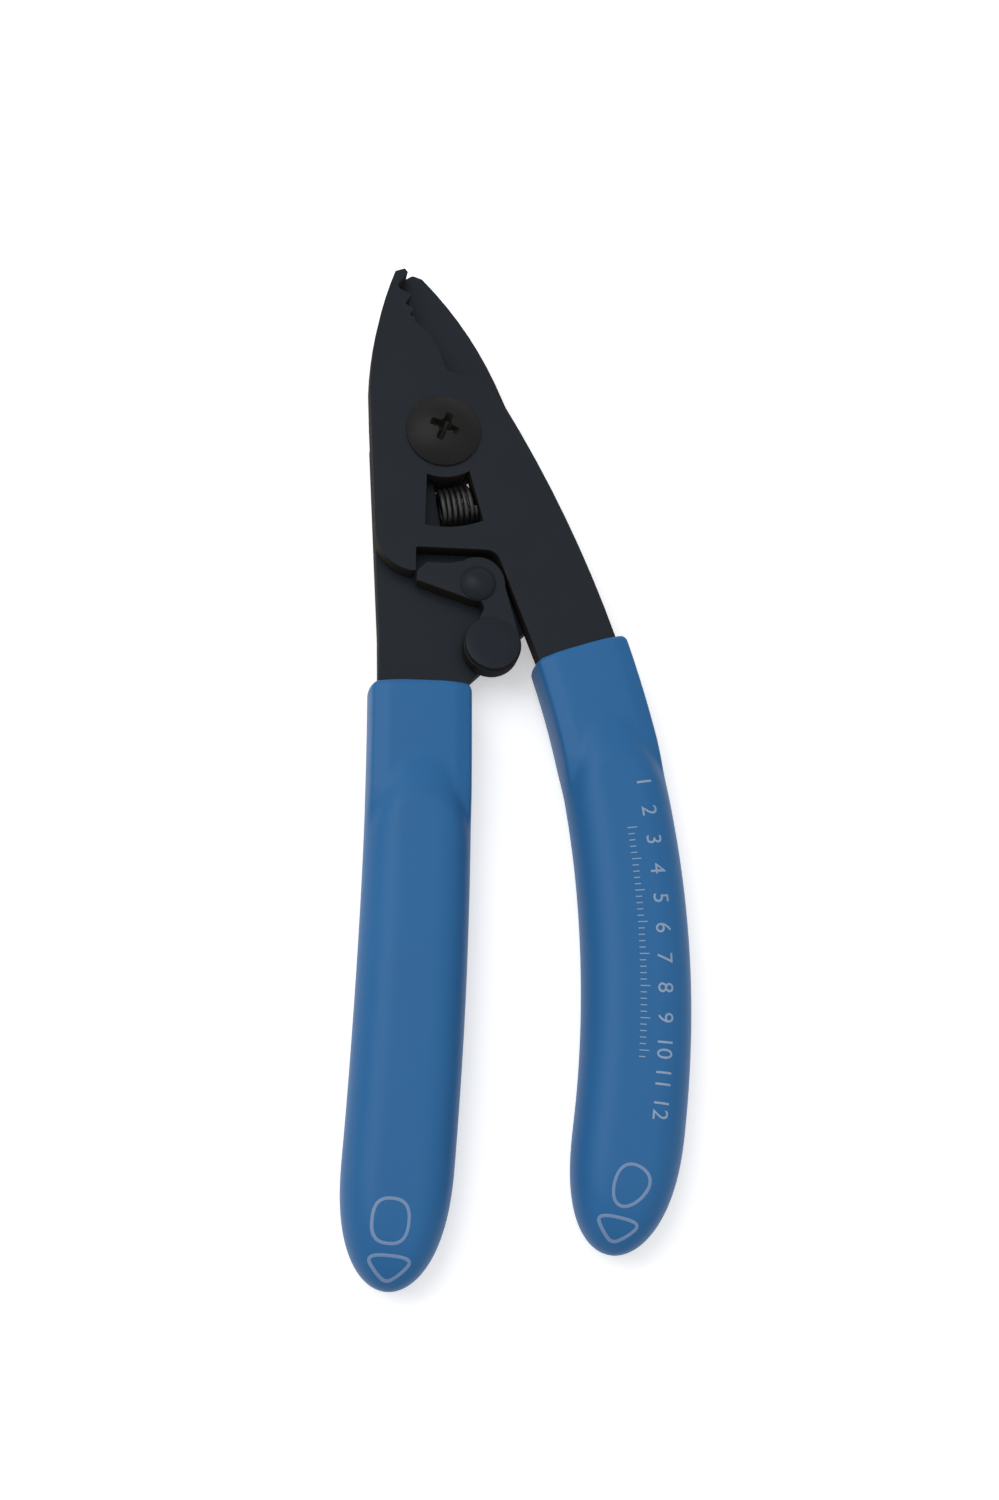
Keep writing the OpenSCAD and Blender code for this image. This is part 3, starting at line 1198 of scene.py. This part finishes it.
@dataclass(frozen=True)
class SoftLamp:
    """A square soft lamp that points at the middle of the table, in metres and watts."""

    name: str
    place: tuple[float, float, float]
    size: float
    power: float

    def build(self) -> None:
        """Hangs the lamp."""
        light = bpy.data.lights.new(self.name, "AREA")
        light.size = self.size
        light.energy = self.power
        lamp = bpy.data.objects.new(self.name, light)
        lamp.location = self.place
        lamp.rotation_euler = (-Vector(self.place)).to_track_quat("-Z", "Y").to_euler()
        bpy.context.scene.collection.objects.link(lamp)


@dataclass
class Studio:
    """Table, soft lights and camera; the camera's places are in millimetres."""

    table_material: bpy.types.Material
    table: float = 3.0
    eye: tuple[float, float, float] = (-59.90, -104.43, 402.46)
    aim: tuple[float, float, float] = (-2.873, 1.617, 6.7)
    lens: float = 62.4
    sensor: float = 36.0
    sky: float = 0.32
    lamps: tuple[SoftLamp, ...] = (
        SoftLamp("key", (-0.55, 0.3, 0.9), 0.9, 7.4),
        SoftLamp("fill", (0.75, -0.35, 0.8), 1.2, 1.7),
        SoftLamp("top", (0.0, 0.0, 1.3), 1.0, 2.5))

    def build(self) -> None:
        """Makes the table, the world, the lamps and the camera."""
        half = self.table / 2
        corners = [Vector((x * half, y * half, 0.0))
                   for x, y in ((-1, -1), (1, -1), (1, 1), (-1, 1))]
        floor = new_object("table", mesh_of("table", corners, [(0, 1, 2, 3)]), self.table_material)
        self.world()
        for lamp in self.lamps:
            lamp.build()
        self.camera()

    def world(self) -> None:
        """Makes the world white to the camera and in reflections, and a soft grey as a light."""
        world = bpy.data.worlds.new("studio")
        bpy.context.scene.world = world
        graph = Graph(world)
        through = graph.ray("Is Glossy Ray").larger(graph.ray("Is Transmission Ray"))
        seen = graph.ray("Is Camera Ray").larger(through)
        white = (*WHITE, 1.0)
        back = graph.node("ShaderNodeBackground", {}, {"Color": white, "Strength": 1.0})
        light = graph.node("ShaderNodeBackground", {}, {"Color": white, "Strength": self.sky})
        mixed = graph.node("ShaderNodeMixShader", {}, {0: seen, 1: light, 2: back})
        graph.node("ShaderNodeOutputWorld", {}, {"Surface": mixed})

    def camera(self) -> None:
        """Places the camera over the tool with the table's +Y upright in the view."""
        eye, aim = Vector(self.eye) * MM, Vector(self.aim) * MM
        ahead = (aim - eye).normalized()
        right = ahead.cross(Vector((0.0, 1.0, 0.0))).normalized()
        up = right.cross(ahead)
        data = bpy.data.cameras.new("camera")
        data.lens = self.lens
        data.sensor_width = self.sensor
        camera = bpy.data.objects.new("camera", data)
        turn = Matrix((right, up, -ahead)).transposed().to_4x4()
        camera.matrix_world = Matrix.Translation(eye) @ turn
        bpy.context.scene.collection.objects.link(camera)
        bpy.context.scene.camera = camera


# ---------- The tool ----------

def main() -> None:
    """Builds the dressed tool and the studio."""
    logging.basicConfig(level=logging.INFO, format="%(message)s")
    bpy.context.scene.view_settings.view_transform = "Standard"
    steel = BlackOxide().build()
    hardware = BlackOxide(name="dark_hardware", dark=(0.010, 0.0098, 0.0098),
                          light=(0.0165, 0.0155, 0.015)).build()
    wire = SpringWire().build()
    vinyl = MouldedVinyl().build()
    # The pale rings near the grips' ends are painted highlights
    pale = PrintedInk("painted_highlight_ring", pale=(0.165, 0.25, 0.42), worn=(0.13, 0.215, 0.38)).build()
    ink = PrintedInk("grip_print", pale=(0.27, 0.36, 0.50), worn=(0.18, 0.27, 0.41)).build()
    StampedPiece("rear_half", "rear", steel).build()
    StampedPiece("front_half", "front", steel, rim=0.07).build()
    StampedPiece("lock_lever", "lever", steel, rim=0.2).build()
    CrossScrew(hardware).build()
    ThumbPad(steel).build()
    dress("pivot_nut", hardware)
    dress("lock_rivet", steel)
    dress("lock_washer", wire)
    CoilSpring(wire).build()
    left = GripForm(length=94.5, mouth_w=16.5, bend=890.0, mouth=(-3.12, -42.5), lean=0.4)
    right = GripForm(length=96.8, mouth_w=15.9, bend=172.0, mouth=(22.45, -35.6), lean=18.5)
    left_grip = Grip(left, "left_grip", "rear", vinyl, pale)
    right_grip = Grip(right, "right_grip", "front", vinyl, pale)
    left_grip.build()
    right_grip.build()
    # Pale painted highlight rings near the grips' ends
    left_grip.mark("left_arch_highlight", rounded_loop((84.5, -0.95), (6.6, 5.5), 2.6))
    left_grip.mark("left_wedge_highlight", rounded_loop((91.3, -0.4), (3.6, 4.9), 2.7, pinch=0.62))
    oval = rounded_loop((86.7, 0.3), (6.5, 5.0), 2.2, turn=-20.0, pinch=0.22)
    right_grip.mark("right_oval_highlight", oval)
    right_grip.mark("right_wedge_highlight", rounded_loop((93.3, -0.3), (3.5, 4.8), 2.7, pinch=0.62))
    PrintedScale(right, "front", ink, start=24.0, count=12, step=4.6, size=2.5,
                 offset=2.2).numbers("printed_numbers")
    PrintedScale(right, "front", ink, start=31.0, count=37, step=1.0, size=1.0,
                 offset=-0.6).ticks("printed_ticks")
    Studio(WhiteTable().build()).build()


if __name__ == "__main__":
    main()
